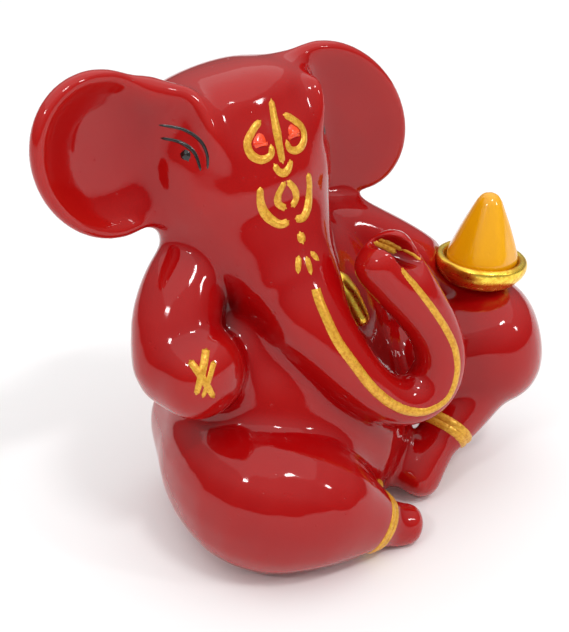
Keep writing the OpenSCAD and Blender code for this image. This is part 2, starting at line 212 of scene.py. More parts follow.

# %% [markdown]
# ## Yellow glaze and two enamels
# The sweet has the same kind of glaze in yellow. The two drops and the eye lines are small touches of
# enamel, which dries glossy with no waves of its own.

# %% Yellow glaze and enamels
# As on the red, the darkest yellow stands for pooled glaze and painted shade in creases.
yellow_glaze = ceramic("yellow glaze on clay", thin="f2ab08", main="e89600", deep_pool_shade="b05e02", wave=3.2,
                       peel=0.06, rough=0.14, coat=0.4)


def enamel(name, light, dark):
    """A small touch of glossy enamel whose colour varies a little with its thickness."""
    made, tree, shader = material(name)
    place = put(tree, "ShaderNodeTexCoord").outputs["Object"]
    cloud = put(tree, "ShaderNodeTexNoise", {"Vector": place, "Scale": per_mm(0.8), "Detail": 2.0})
    shades = put(tree, "ShaderNodeValToRGB", {"Fac": cloud.outputs["Fac"]})
    shades.color_ramp.elements[0].position, shades.color_ramp.elements[0].color = 0.35, linear(dark)
    shades.color_ramp.elements[1].position, shades.color_ramp.elements[1].color = 0.65, linear(light)
    bump = put(tree, "ShaderNodeBump",
               {"Strength": 0.1, "Distance": 0.1 * MM, "Height": cloud.outputs["Fac"]})
    tree.links.new(shades.outputs[0], shader.inputs["Base Color"])
    tree.links.new(bump.outputs[0], shader.inputs["Normal"])
    for socket, value in {"Roughness": 0.22, "IOR": 1.5, "Coat Weight": 0.3, "Coat Roughness": 0.05}.items():
        shader.inputs[socket].default_value = value
    return made


orange_enamel = enamel("orange enamel", "ff5016", "ee3c0c")
black_enamel = enamel("black enamel", "1d1512", "0c0908")
print("made", yellow_glaze.name, orange_enamel.name, black_enamel.name)

# %% [markdown]
# ## The glazed skin
# The clay pieces are luted together and then glazed as one, so no joint has a hard edge. The skin could
# be made with a Remesh modifier and a Smooth, but those round the creases and the thin ear rims by the
# same amount. A distance field does better. Each CAD piece becomes a grid of distances to its surface,
# negative inside. Where two pieces meet, a smooth minimum of their fields fills the crease with a small
# fillet, wide where an ear flows into a cheek and narrow between an arm and the belly. A gentle blur then
# takes out the facets.

# %% Distance fields
CELL = 0.5 * MM          # grid spacing
BAND = 13                # how many cells of true distance are kept each side of a surface
MARGIN = 14              # empty cells round the figure
WELD = 1e-4              # points are merged on a grid this fine, mm


def welded(node):
    """The points and triangles of a CAD piece, its doubled points merged. The CAD object isn't touched."""
    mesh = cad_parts[node].data
    points = np.empty(len(mesh.vertices) * 3)
    mesh.vertices.foreach_get("co", points)
    mesh.calc_loop_triangles()
    corners = np.empty(len(mesh.loop_triangles) * 3, np.int32)
    mesh.loop_triangles.foreach_get("vertices", corners)
    keys, back = np.unique(np.round(points.reshape(-1, 3) / (WELD * MM)), axis=0, return_inverse=True)
    triangles = back.reshape(-1)[corners].reshape(-1, 3)
    whole = (triangles[:, 0] != triangles[:, 1]) & (triangles[:, 1] != triangles[:, 2]) & (
        triangles[:, 0] != triangles[:, 2])
    return (keys * WELD * MM).astype(np.float32), triangles[whole].astype(np.uint32)


def field_of(node, low, size, cell):
    """Distances from a CAD piece's surface on a grid that starts at the cell low, negative inside."""
    points, triangles = welded(node)
    grid = openvdb.FloatGrid.createLevelSetFromPolygons(
        points, triangles=triangles, transform=openvdb.createLinearTransform(voxelSize=cell), halfWidth=BAND)
    out = np.full(size, BAND * cell, np.float32)
    grid.copyToArray(out, ijk=tuple(int(v) for v in low))
    return out


def merge(a, b, fillet):
    """The smooth minimum of two fields. fillet is how far the crease between them is filled."""
    near = np.maximum(fillet - np.abs(a - b), 0)
    return np.minimum(a, b) - near * near / (4 * fillet)


def gauss(field, spread):
    """A field blurred by spread cells, done in frequency space."""
    spectrum = np.fft.rfftn(field)
    for axis, n in enumerate(field.shape):
        steps = np.fft.rfftfreq(n) if axis == field.ndim - 1 else np.fft.fftfreq(n)
        shape = [1] * field.ndim
        shape[axis] = len(steps)
        spectrum *= np.exp(-2 * (math.pi * spread * steps) ** 2).reshape(shape)
    return np.fft.irfftn(spectrum, s=field.shape, axes=range(field.ndim))


# %% The clay's smooth union
CLAY = {                 # each clay piece and the fillet, in mm, between it and the pieces before it
    "head": 0, "trunk": 2.0, "ear_right": 5.0, "ear_left": 4.0, "torso": 1.6, "leg_right": 1.2,
    "leg_left": 1.2, "arm_right": 1.6, "arm_left": 1.6, "foot_right": 1.4, "foot_left": 1.4,
}
corners = np.array([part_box(n) for n in CLAY])
low = np.floor(corners[:, 0].min(axis=0) / CELL).astype(int) - MARGIN
high = np.ceil(corners[:, 1].max(axis=0) / CELL).astype(int) + MARGIN
size = tuple(int(v) for v in high - low + 1)
fields = {n: field_of(n, low, size, CELL) for n in CLAY}
clay = None
for name, fillet in CLAY.items():
    clay = fields[name].copy() if clay is None else merge(clay, fields[name], fillet * MM)
print("grid", size, "cells, clay fills", round(float((clay < 0).sum()) * (CELL / MM) ** 3 / 1000, 1), "cm3")

# %% [markdown]
# ## Smoothing without shrinking
# One blur pulls every bump in, so a thin rim would lose height. Blurring twice and taking the second
# result from twice the first keeps the large forms where they are, and still wipes out the facets, which
# are a few millimetres wide. A blur of the filled space tells how much clay lies round each point: a half
# on open ground, less on a thin rim and more in a crease. So the strong smoothing is kept for open
# ground, and the creases are later painted darker, for the glaze that pools there and as painted shade.

# %% Blur and pooling
def soften(field, spread):
    """A blur by spread cells that leaves the large forms where they are."""
    once = gauss(field, spread)
    return 2 * once - gauss(once, spread)


def ramp(values, start, stop):
    """0 at start and before it, 1 at stop and past it, and a smooth rise between them."""
    t = np.clip((values - start) / (stop - start), 0, 1)
    return t * t * (3 - 2 * t)


CROWD_REACH = 2.2        # how far round a point the clay is counted, mm
OFF_RIM, OFF_CREASE = (0.33, 0.42), (0.68, 0.58)    # shares of clay where strong smoothing starts and is full
FINE_BLUR, STRONG_BLUR = 0.9, 2.0                   # mm
crowd = gauss((clay < 0).astype(np.float32), CROWD_REACH * MM / CELL)
open_ground = gauss(ramp(crowd, *OFF_RIM) * ramp(crowd, *OFF_CREASE), spread=1.5)
smooth = soften(clay, FINE_BLUR * MM / CELL)
smooth += open_ground * (soften(clay, STRONG_BLUR * MM / CELL) - smooth)
print("smoothed field spans mm:", round(float(smooth.min()) / MM, 2), "to",
      round(float(smooth.max()) / MM, 2))

# %% [markdown]
# ## The hollow at the trunk's end
# The end of the trunk was pressed open with a modelling tool, which leaves a long lens-shaped hollow with
# a crisp lip. Blurring would fill it, so it is cut after the smoothing: an oval's distance field is taken
# away from the clay's, with only a small rounding at the lip.

# %% Trunk hollow
TIP = np.array([12.1, -13.4, 51.4])                     # middle of the hollow, mm
TIP_LONG = Vector((0.668, -0.634, -0.387)).normalized()  # down its long side
TIP_OUT = Vector((-0.33, -0.72, 0.61))
TIP_OUT = (TIP_OUT - TIP_OUT.dot(TIP_LONG) * TIP_LONG).normalized()
TIP_SIDE = TIP_OUT.cross(TIP_LONG)
TIP_SIZE = (5.2, 1.9, 2.6)                              # half sizes along, beside and into the clay, mm
LIP = 0.4                                               # rounding of the hollow's lip, mm

cells = np.stack(np.meshgrid(*[(low[i] + np.arange(size[i])) * CELL / MM - TIP[i] for i in range(3)],
                             indexing="ij"), axis=-1)
own = np.stack([cells @ np.array(axis) for axis in (TIP_LONG, TIP_SIDE, TIP_OUT)], axis=-1) / TIP_SIZE
reach = np.linalg.norm(own, axis=-1)
steep = np.linalg.norm(own / TIP_SIZE, axis=-1)
hollow = (reach * (reach - 1) / (steep + 1e-6)).astype(np.float32) * MM
smooth = -merge(-smooth, hollow, LIP * MM)
print("hollow takes out mm3:", round(float(((hollow < 0) & (clay < 0)).sum()) * (CELL / MM) ** 3, 1))


def sample(grid, points):
    """Values of a grid at points in metres, by trilinear interpolation."""
    at = points / CELL - low
    base = np.clip(np.floor(at).astype(int), 0, np.array(grid.shape) - 2)
    part = at - base
    total = 0
    for dx in (0, 1):
        for dy in (0, 1):
            for dz in (0, 1):
                weight = np.abs(1 - np.array([dx, dy, dz]) - part).prod(axis=1)
                total = total + weight * grid[base[:, 0] + dx, base[:, 1] + dy, base[:, 2] + dz]
    return total


# %% [markdown]
# ## From the field to a mesh
# The surface is where the field is zero. The slope of the field there gives the exact normal, so the
# glaze reflects smoothly even over small faces. Each face then goes to the clay piece that it covers, so
# that the visual model keeps the same named pieces as the CAD. A piece is closed by an inner wall, as a
# cast piece has one, and the normals of the whole skin are kept on it, so no seam shows.

# %% Skin mesh
grid = openvdb.FloatGrid()
grid.copyFromArray(smooth.astype(np.float32), ijk=tuple(int(v) for v in low))
grid.transform = openvdb.createLinearTransform(voxelSize=CELL)
skin_points, skin_quads = grid.convertToQuads(isovalue=0.0)
skin_points = np.asarray(skin_points, float)
skin_points[:, 2] = np.maximum(skin_points[:, 2], 0)
skin_quads = np.asarray(skin_quads, int)


def slope(points, step=0.5 * CELL):
    """Outward unit normals from the smoothed field."""
    out = np.stack([sample(smooth, points + step * axis) - sample(smooth, points - step * axis)
                    for axis in np.eye(3)], axis=1)
    return out / np.linalg.norm(out, axis=1, keepdims=True)


skin_normals = slope(skin_points)
first, second, third = (skin_points[skin_quads[:, i]] for i in (0, 1, 2))
facing = np.einsum("ij,ij->i", np.cross(second - first, third - first), skin_normals[skin_quads[:, 0]])
if facing.sum() < 0:
    skin_quads = skin_quads[:, ::-1]
# How crowded each point is, kept to paint the creases darker: pooled glaze and painted shade.
skin_pool_shade = sample(crowd, skin_points)
print("skin:", len(skin_points), "points,", len(skin_quads), "quads, pooling_and_shade",
      round(float(skin_pool_shade.min()), 2), "to", round(float(skin_pool_shade.max()), 2))


# %% Pieces of the skin
WALL = 1.0 * MM          # thickness of a piece's closed wall


def finish_piece(name, mesh, finish, nodes):
    """Makes an object of a mesh, gives it its finish, and ties it to the frame."""
    made = bpy.data.objects.new(name, mesh)
    bpy.context.scene.collection.objects.link(made)
    mesh.materials.clear()
    mesh.materials.append(finish)
    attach(made, "root")
    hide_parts(*nodes)
    print(name, "has", sum(len(f.vertices) - 2 for f in mesh.polygons), "triangles")
    return made


def closed_patch(name, quads):
    """A closed mesh of some of the skin's quads: the glazed face, an inner wall and the edge between."""
    used, index = np.unique(quads, return_inverse=True)
    outer = index.reshape(-1, 4)
    points, normals = skin_points[used], skin_normals[used]
    edges = np.stack([outer, np.roll(outer, -1, axis=1)], axis=2).reshape(-1, 2)
    code = edges[:, 0].astype(np.int64) * len(used) + edges[:, 1]
    back = edges[:, 1].astype(np.int64) * len(used) + edges[:, 0]
    rim = edges[~np.isin(code, back)]
    rim_quads = np.stack([rim[:, 1], rim[:, 0], rim[:, 0] + len(used), rim[:, 1] + len(used)], axis=1)
    inner = outer[:, ::-1] + len(used)
    faces = np.concatenate([outer, inner, rim_quads])
    mesh = bpy.data.meshes.new(name)
    mesh.from_pydata(np.concatenate([points, points - normals * WALL]).tolist(), [], faces.tolist())
    mesh.polygons.foreach_set("use_smooth", np.ones(len(faces), bool))
    flat = np.cross(points[rim[:, 1]] - points[rim[:, 0]], normals[rim[:, 0]])
    flat /= np.linalg.norm(flat, axis=1, keepdims=True) + 1e-12
    corner_normals = np.concatenate([normals[outer.reshape(-1)], -normals[outer[:, ::-1].reshape(-1)],
                                     np.repeat(flat, 4, axis=0)])
    mesh.normals_split_custom_set(corner_normals.tolist())
    # Stored per point for the glaze colour, which paints shade into the creases as well as pooled glaze.
    pool_shade = mesh.attributes.new("pool_shade", "FLOAT", "POINT")
    pool_shade.data.foreach_set("value", np.tile(skin_pool_shade[used], 2).astype(np.float32))
    mesh.validate()
    return mesh


LOOK_IN = 0.6            # depth below the skin at which a point's own CAD piece is looked up, mm
names = list(CLAY)
just_inside = skin_points - skin_normals * LOOK_IN * MM
owner = np.argmin(np.stack([sample(fields[n], just_inside) for n in names]), axis=0)
votes = np.stack([(owner[skin_quads] == i).sum(axis=1) for i in range(len(names))])
quad_owner = np.argmax(votes, axis=0)
for i, name in enumerate(names):
    patch = closed_patch(name, skin_quads[quad_owner == i])
    finish_piece(f"glazed_{name}", patch, red_glaze, [name])

# %% [markdown]
# ## A surface to paint on
# The painted lines must lie exactly on the glaze. A hidden copy of the whole skin gives them that
# surface. It isn't part of the figure, so it is deleted once the painting is done.

# %% Painting surface
canvas_mesh = bpy.data.meshes.new("canvas")
canvas_mesh.from_pydata(skin_points.tolist(), [], skin_quads.tolist())
canvas = bpy.data.objects.new("canvas", canvas_mesh)
bpy.context.scene.collection.objects.link(canvas)
canvas_mesh.polygons.foreach_set("use_smooth", np.ones(len(skin_quads), bool))
print("canvas has", len(canvas_mesh.polygons), "faces")

# %% [markdown]
# ## A loaded brush
# A liner brush leaves a low bead that swells where it is pressed and tapers where it lifts. A bead is a
# tube sunk in the skin: a round of radius r whose middle is just under the surface shows as a low ridge.
# Geometry Nodes suits this, because every line on the figure follows the same rule: aim each point of a
# path at the skin, find where it lands, sink it, and sweep a round along it. The half width of the stroke
# and the aim are stored on the path.

# %% Brush stroke tree
def brush_tree():
    """A node tree that turns aimed paths into beads of paint on a surface."""
    tree = bpy.data.node_groups.new("brush bead", "GeometryNodeTree")
    for name, kind in (("Path", "Geometry"), ("Surface", "Object"), ("Reach", "Float"), ("Step", "Float"),
                       ("Bead Radius", "Float"), ("Sink", "Float"), ("Paint", "Material")):
        tree.interface.new_socket(name, in_out="INPUT", socket_type="NodeSocket" + kind)
    tree.interface.new_socket("Bead", in_out="OUTPUT", socket_type="NodeSocketGeometry")
    given = put(tree, "NodeGroupInput").outputs
    half, aim = (put(tree, "GeometryNodeInputNamedAttribute", {"Name": stored}, data_type=kind).outputs[0]
                 for stored, kind in (("half_width", "FLOAT"), ("aim", "FLOAT_VECTOR")))
    line = put(tree, "GeometryNodeMeshToCurve", {"Mesh": given["Path"]})
    fine = put(tree, "GeometryNodeResampleCurve", {"Curve": line.outputs[0], "Length": given["Step"]},
               mode="LENGTH")
    surface = put(tree, "GeometryNodeObjectInfo", {"Object": given["Surface"]}, transform_space="RELATIVE")
    shot = put(tree, "GeometryNodeRaycast",
               {"Target Geometry": surface.outputs["Geometry"], "Ray Direction": aim,
                "Ray Length": given["Reach"]})
    depth = put(tree, "ShaderNodeMath", {0: half, 1: given["Sink"]}, operation="MULTIPLY")
    sunk = put(tree, "ShaderNodeVectorMath", {0: shot.outputs["Hit Normal"], "Scale": depth.outputs[0]},
               operation="SCALE")
    landed = put(tree, "ShaderNodeVectorMath", {0: shot.outputs["Hit Position"], 1: sunk.outputs[0]},
                 operation="SUBTRACT")
    laid = put(tree, "GeometryNodeSetPosition",
               {"Geometry": fine.outputs[0], "Selection": shot.outputs["Is Hit"],
                "Position": landed.outputs[0]})
    radius = put(tree, "ShaderNodeMath", {0: half, 1: given["Bead Radius"]}, operation="MULTIPLY")
    rim = put(tree, "GeometryNodeCurvePrimitiveCircle", {"Resolution": 14, "Radius": 1.0}, mode="RADIUS")
    swept = put(tree, "GeometryNodeCurveToMesh",
                {"Curve": laid.outputs[0], "Profile Curve": rim.outputs[0], "Scale": radius.outputs[0],
                 "Fill Caps": True})
    real = put(tree, "GeometryNodeRealizeInstances", {"Geometry": swept.outputs[0]})
    painted = put(tree, "GeometryNodeSetMaterial", {"Geometry": real.outputs[0], "Material": given["Paint"]})
    put(tree, "NodeGroupOutput", {"Bead": painted.outputs[0]})
    return tree


BRUSH = brush_tree()
print("brush tree has", len(BRUSH.nodes), "nodes")


# %% [markdown]
# ## Paths for the brush
# A stroke is drawn by a few points that the hand would pass through, and a curve through them gives the
# rest. Its width swells from one end to the other through the middle, and both ends are rounded off over
# a short length, as a full brush leaves them.

# %% Path helpers
FLAT = 0.42              # height of a bead over its half width
BEAD = (1 + FLAT * FLAT) / (2 * FLAT)
SINK = BEAD - FLAT


def through(points, count):
    """Points on a Catmull-Rom curve through the given ones."""
    p = np.array([points[0], *points, points[-1]], float)
    out = []
    for s in np.linspace(0, len(points) - 1, count):
        i = min(int(s), len(points) - 2)
        t = s - i
        a, b, c, d = p[i:i + 4]
        out.append(0.5 * (2 * b + (c - a) * t + (2 * a - 5 * b + 4 * c - d) * t ** 2
                          + (3 * b - a - 3 * c + d) * t ** 3))
    return np.array(out)


def swell(start, middle, end, count, ends=0.07):
    """Half widths in mm along a stroke, with both tips rounded off."""
    t = np.linspace(0, 1, count)
    body = np.interp(t, [0, 0.5, 1], [start, middle, end])
    tip = np.clip(np.minimum(t, 1 - t) / ends, 0, 1)
    return body * np.sqrt(np.maximum(1 - (1 - tip) ** 2, 0.02))


def paint(name, strokes, finish, nodes, reach=30, closed=False):
    """Paints strokes on the skin. Each is (points in mm, aims, half widths in mm)."""
    points, edges, halves, aims = [], [], [], []
    for path, directions, half in strokes:
        start = len(points)
        points += (np.array(path) * MM).tolist()
        halves += list(half)
        aims += [list(d) for d in directions]
        edges += [(start + k, start + k + 1) for k in range(len(path) - 1)]
        if closed:
            edges.append((start + len(path) - 1, start))
    mesh = bpy.data.meshes.new(name)
    mesh.from_pydata(points, edges, [])
    mesh.attributes.new("half_width", "FLOAT", "POINT").data.foreach_set("value", np.array(halves) * MM)
    aim = mesh.attributes.new("aim", "FLOAT_VECTOR", "POINT")
    aim.data.foreach_set("vector", np.array(aims, float).ravel())
    carrier = bpy.data.objects.new("path_" + name, mesh)
    bpy.context.scene.collection.objects.link(carrier)
    modifier = carrier.modifiers.new("bead", "NODES")
    modifier.node_group = BRUSH
    values = {"Surface": canvas, "Reach": reach * MM, "Step": 0.22 * MM, "Bead Radius": BEAD, "Sink": SINK,
              "Paint": finish}
    for item in BRUSH.interface.items_tree:
        if item.in_out == "INPUT" and item.name in values:
            modifier[item.identifier] = values[item.name]
    view = bpy.context.evaluated_depsgraph_get()
    done = bpy.data.meshes.new_from_object(carrier.evaluated_get(view))
    done.name = name
    bpy.data.objects.remove(carrier)
    for attribute in ("half_width", "aim"):
        if attribute in done.attributes:
            done.attributes.remove(done.attributes[attribute])
    done.polygons.foreach_set("use_smooth", np.ones(len(done.polygons), bool))
    return finish_piece(name, done, finish, nodes)


# %% [markdown]
# ## The marks on the face
# On the brow are a centre stroke between two loops with an orange drop in each, and a small cup under
# them. Below it a simple open lotus stands where the figure has its emblem, then four short dashes. They
# are drawn flat, x to the figure's left of the face's middle and z up, and then aimed straight back at
# the face.

# %% Face marks
FACE_X = -1.6            # the face's middle line
FACE_Y = -16             # a plane just in front of it


def face_stroke(flat, start, middle, end, ends=0.12, count=60):
    """A stroke drawn flat in front of the face, aimed back at it."""
    curve = through(flat, count)
    path = np.stack([curve[:, 0] + FACE_X, np.full(count, FACE_Y), curve[:, 1]], axis=1)
    return path, np.tile([0, 1, 0], (count, 1)), swell(start, middle, end, count, ends)


def both(flat, *widths):
    """A stroke and its mirror image."""
    return [face_stroke([(side * x, z) for x, z in flat], *widths) for side in (1, -1)]


LINE = 0.72              # half width of a gold line
brow_mark = [face_stroke([(0.7, 75.2), (0.3, 72), (0, 69), (0, 65.6)], 0.5, 0.8, 0.55)]
brow_mark += both([(1.9, 72.6), (3.6, 71.6), (5.3, 69.8), (5, 68), (3.4, 67.1), (1.8, 67.6), (1.5, 69.2)],
                  0.55, LINE, 0.5)
brow_mark += [face_stroke([(-1.7, 66.4), (-1, 64.9), (0.2, 64.5), (1.3, 65.4), (1.4, 66.4)],
                          0.45, LINE, 0.45)]
paint("forehead_gilding", brow_mark, gold_liner, ["forehead_mark"])
paint("forehead_drops", both([(2.3, 71.4), (3.1, 69.9), (3.3, 67.9)], 0.7, 1.25, 1.5, 0.5), orange_enamel,
      ["mark_drops"])
lotus = both([(4.6, 63.6), (4.8, 61), (4, 58.6), (2.2, 57.1), (0.2, 57.4)], 0.55, 0.82, 0.55)
lotus += both([(0, 63.4), (1.5, 61.6), (1.7, 60), (0.2, 58.9)], 0.45, LINE, 0.5)
paint("lotus_gilding", lotus, gold_liner, ["lotus_mark"])
dashes = [face_stroke([(0.8, 55.8), (0.8, 54.4), (0.8, 53.2)], 0.8, 0.8, 0.7, 0.5)]
dashes += [face_stroke(flat, 0.45, 0.55, 0.3) for flat in (
    [(-0.5, 52.4), (-1.2, 51), (-1.7, 49.8)], [(0.7, 52), (0.6, 50.6), (0.5, 49.2)],
    [(1.7, 52.4), (2.3, 51.4), (2.9, 50.6)])]
paint("brow_gilding", dashes, gold_liner, ["brow_dashes"])

# %% [markdown]
# ## The eyes
# Each eye is three touches of black on the side of the head: a long brow line that turns down in front, a
# lid line under it, and a small pupil. They are drawn on the side view, forward and up. The head's side
# turns outwards as it goes back, so each point starts a little off that side, and is aimed inwards and
# back at it.

# %% Eyes
TEMPLE, TEMPLE_BACK = 11, 2.2    # the head's half width in mm, and how far back it is measured
WIDENS = 0.47                    # how much the half width grows for each mm further back
OFF_SIDE = 4                     # how far a path stands off the head's side, mm


def side_stroke(flat, side, start, middle, end, ends=0.12, count=50):
    """A stroke drawn flat beside the head, [forward, up], aimed in at it. side is -1 for the right eye."""
    curve = through(flat, count)
    back = -curve[:, 0]
    aim = np.array([-0.8 * side, 0.6, 0])
    surface = np.stack([FACE_X + side * (TEMPLE + WIDENS * (back - TEMPLE_BACK)), back, curve[:, 1]], axis=1)
    return surface - OFF_SIDE * aim, np.tile(aim, (count, 1)), swell(start, middle, end, count, ends)


for name, side in (("eye_right", -1), ("eye_left", 1)):
    paint(name + "_lines", [
        side_stroke([(-9.4, 72.6), (-5.8, 72.2), (-3.3, 70.8), (-2.3, 68.8), (-2.2, 66.7)], side,
                    0.2, 0.32, 0.18),
        side_stroke([(-9.2, 70.6), (-6.2, 70.3), (-4.1, 69), (-3.1, 66.4)], side, 0.2, 0.34, 0.2),
        side_stroke([(-6.3, 69.5), (-5.4, 68.6), (-4.7, 67.4)], side, 0.7, 0.85, 0.7, 0.5)],
        black_enamel, [name], reach=9)

# %% [markdown]
# ## The line down the trunk
# A gold line runs from the brow down the front of the trunk and round its curl, always on the side that
# faces forward. It is given by places on the trunk's front, each with the direction in which the front
# faces there. The path stands a little off the front, and is aimed straight back at it.

# %% Trunk line
OFF_FRONT = 2            # how far the path stands off the trunk's front, mm
TRUNK_LINE = [           # a place on the trunk's front, mm, and the direction in which the front faces there
    (-1.1, -9.2, 47.8, -0.08, -0.7, 0.71), (-1.2, -11, 44.9, -0.15, -0.74, 0.65),
    (-0.3, -13.6, 40, -0.24, -0.83, 0.51), (1.9, -15.7, 35.3, -0.21, -0.9, 0.39),
    (4.4, -17.4, 30.9, -0.22, -0.94, 0.27), (7.6, -18.6, 27.2, -0.23, -0.96, 0.18),
    (11.1, -19.6, 24.8, -0.24, -0.97, 0.09), (14.6, -20.5, 24, -0.22, -0.97, -0.06),
    (18.1, -21.2, 25.6, -0.06, -0.99, -0.09), (19.5, -21.4, 29.8, 0, -1, 0.03),
    (19.1, -20.9, 34.4, -0.04, -0.99, 0.16), (17.4, -20.1, 38.5, -0.1, -0.97, 0.2),
    (15.1, -19, 42.6, -0.14, -0.96, 0.24), (12.7, -17.6, 46.5, -0.16, -0.95, 0.26),
    (10.8, -16.1, 50, -0.16, -0.94, 0.3)]
COUNT = 300
fronts = through(TRUNK_LINE, COUNT)
line_path, line_facing = fronts[:, :3].copy(), fronts[:, 3:].copy()
line_facing /= np.linalg.norm(line_facing, axis=1, keepdims=True)
paint("trunk_gilding", [(line_path + OFF_FRONT * line_facing, -line_facing,
                         swell(0.85, 0.75, 0.5, COUNT, ends=0.01))],
      gold_liner, ["trunk_line"], reach=5)

# %% [markdown]
# ## The blessing hand
# Three quick gold strokes lie on the palm. They are drawn on a flat card in front of the hand, turned to
# face the way that the palm does, and aimed straight back at it.

# %% Palm strokes
hand_low, hand_high = (np.array(c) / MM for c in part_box("palm_strokes"))
CARD = Matrix.Translation((-18.8, -2.6, 35.4)) @ (Matrix.Rotation(math.radians(-24), 4, "Z")
                                                  @ Matrix.Rotation(math.radians(60), 4, "X"))
OFF_PALM = 10            # how far the paths stand off the card's middle, mm


def palm_stroke(flat, start, middle, end, count=50):
    """A stroke drawn on the card before the palm."""
    curve = through(flat, count)
    path = [CARD @ Vector((x, y, OFF_PALM)) for x, y in curve]
    aim = (CARD.to_3x3() @ Vector((0, 0, -1))).normalized()
    return np.array(path), np.tile(list(aim), (count, 1)), swell(start, middle, end, count)


paint("palm_gilding", [
    palm_stroke([(-2.4, 2.5), (-0.7, -0.7), (1, -4)], 0.5, 0.6, 0.4),
    palm_stroke([(0.6, 4), (-0.6, 0.4), (-1.9, -3.2)], 0.6, 0.6, 0.4),
    palm_stroke([(1.5, 1.9), (0.3, -0.9), (-0.9, -3.7)], 0.45, 0.45, 0.3)],
    gold_liner, ["palm_strokes"], reach=10)
print("the CAD strokes span mm", hand_low.round(1), hand_high.round(1))

# %% [markdown]
# ## Gold hems above the feet
# The robe ends above each foot in a gold hem: two brush strokes side by side right round the shin. Each
# is a ring of points about the shin, aimed in at its middle.

# %% Hems
def ring_stroke(middle, heading, radius, half, count=90):
    """A closed stroke round a limb, aimed at the limb's middle."""
    heading = Vector(heading).normalized()
    across = heading.cross(Vector((0, 0, 1))).normalized()
    other = heading.cross(across)
    turns = np.linspace(0, 2 * math.pi, count, endpoint=False)
    spokes = np.array([across * math.cos(a) + other * math.sin(a) for a in turns])
    return np.array(middle) + spokes * radius, -spokes, np.full(count, half)


HEMS = {
    "right": ([(4.6, -19, 5.3), (5.4, -19.4, 4.8)], (0.78, -0.38, -0.5), 6.4),
    "left": ([(27.1, -12.7, 11.5), (26.2, -12.8, 10.8)], (-0.8, -0.15, -0.58), 6.4),
}
for side, (middles, heading, radius) in HEMS.items():
    paint(f"hem_{side}", [ring_stroke(m, heading, radius, 0.75) for m in middles], gold_liner,
          [f"anklet_{side}"], reach=radius, closed=True)

# %% [markdown]
# ## The gilded tip of the trunk
# The upper wall of the hollow is touched with two short broad strokes of gold, and a thin one runs on
# down its side.

# %% Trunk tip
OFF_TIP = 5              # how far a path stands off the hollow's middle, mm


def tip_stroke(flat, start, middle, end, count=40):
    """A stroke drawn before the trunk's hollow, (along, beside) in mm from its middle."""
    curve = through(flat, count)
    path = [TIP + np.array(TIP_LONG * a + TIP_SIDE * b + TIP_OUT * OFF_TIP) for a, b in curve]
    return np.array(path), np.tile(list(-TIP_OUT), (count, 1)), swell(start, middle, end, count)


paint("trunk_tip_gilding", [
    tip_stroke([(-3.9, 0.35), (-1.8, 0.6), (0.6, 0.5)], 0.4, 0.6, 0.45),
    tip_stroke([(-3.4, 1.0), (-1.3, 1.25), (1.2, 1.1)], 0.4, 0.55, 0.35),
    tip_stroke([(1.0, 1.2), (2.8, 1.05), (4.3, 0.6)], 0.25, 0.3, 0.2)],
    gold_liner, ["nostril_gilding"], reach=9)

# %% [markdown]
# ## The tusk
# The tusk is a short curved horn of clay, gilded all over. It is made like the skin, from the CAD solid's
# own distance field on a finer grid.

# %% Tusk
def remade(name, node, cell, blur):
    """One CAD piece as a smooth closed mesh."""
    box_low, box_high = (np.array(c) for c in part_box(node))
    start = np.floor(box_low / cell).astype(int) - BAND
    stop = np.ceil(box_high / cell).astype(int) + BAND
    field = field_of(node, start, tuple(int(v) for v in stop - start + 1), cell)
    own = openvdb.FloatGrid()
    own.copyFromArray(soften(field, blur).astype(np.float32), ijk=tuple(int(v) for v in start))
    own.transform = openvdb.createLinearTransform(voxelSize=cell)
    points, quads = own.convertToQuads(isovalue=0.0)
    quads = np.asarray(quads, int)
    mesh = bpy.data.meshes.new(name)
    mesh.from_pydata(np.asarray(points, float).tolist(), [], quads.tolist())
    volume = 0
    for quad in quads:
        a, b, c, d = (np.asarray(points[i], float) for i in quad)
        volume += np.dot(a, np.cross(b, c)) + np.dot(a, np.cross(c, d))
    if volume < 0:
        mesh.flip_normals()
    mesh.polygons.foreach_set("use_smooth", np.ones(len(quads), bool))
    return mesh


tusk = remade("gilded_tusk", "tusk", cell=0.2 * MM, blur=2.5)
finish_piece("gilded_tusk", tusk, gold_lustre, ["tusk"])

# %% [markdown]
# ## The dish and the sweet
# Both are turned forms. The dish is a low bowl with a round thick rim. The sweet is a steamed dumpling: a
# drop with soft flutes that run up to a point, pinched by hand, so the flutes are shallow at the foot and
# fade at the tip. A rule makes both: rings of points whose radius follows a profile, with a cosine for
# the flutes.

# %% Turned pieces
dish_low, dish_high = (np.array(c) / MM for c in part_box("dish"))
sweet_low, sweet_high = (np.array(c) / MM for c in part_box("sweet"))
SEAT = Matrix.Translation((39, -7, 39.9)) @ Matrix.Rotation(math.radians(5), 4, "Y")
print("CAD dish mm", dish_low.round(1), dish_high.round(1), "sweet", sweet_low.round(1), sweet_high.round(1))


def turned(name, profile, sides, flutes=0, depth=None):
    """A closed turned mesh. profile is [radius, height] in mm from foot to top, depth the flutes' depth."""
    points, faces = [], []
    for j, (r, h) in enumerate(profile):
        for k in range(sides):
            a = 2 * math.pi * k / sides
            own = r + (depth(j / (len(profile) - 1)) * math.cos(flutes * a) if flutes else 0)
            points.append(SEAT @ Vector((own * math.cos(a), own * math.sin(a), h)) * MM)
    for j in range(len(profile) - 1):
        for k in range(sides):
            faces.append((j * sides + k, j * sides + (k + 1) % sides, (j + 1) * sides + (k + 1) % sides,
                          (j + 1) * sides + k))
    points += [(SEAT @ Vector((0, 0, profile[i][1]))) * MM for i in (0, -1)]
    last = (len(profile) - 1) * sides
    for k in range(sides):
        faces.append(((k + 1) % sides, k, len(points) - 2))
        faces.append((last + k, last + (k + 1) % sides, len(points) - 1))
    mesh = bpy.data.meshes.new(name)
    mesh.from_pydata(points, [], faces)
    mesh.polygons.foreach_set("use_smooth", np.ones(len(faces), bool))
    return mesh


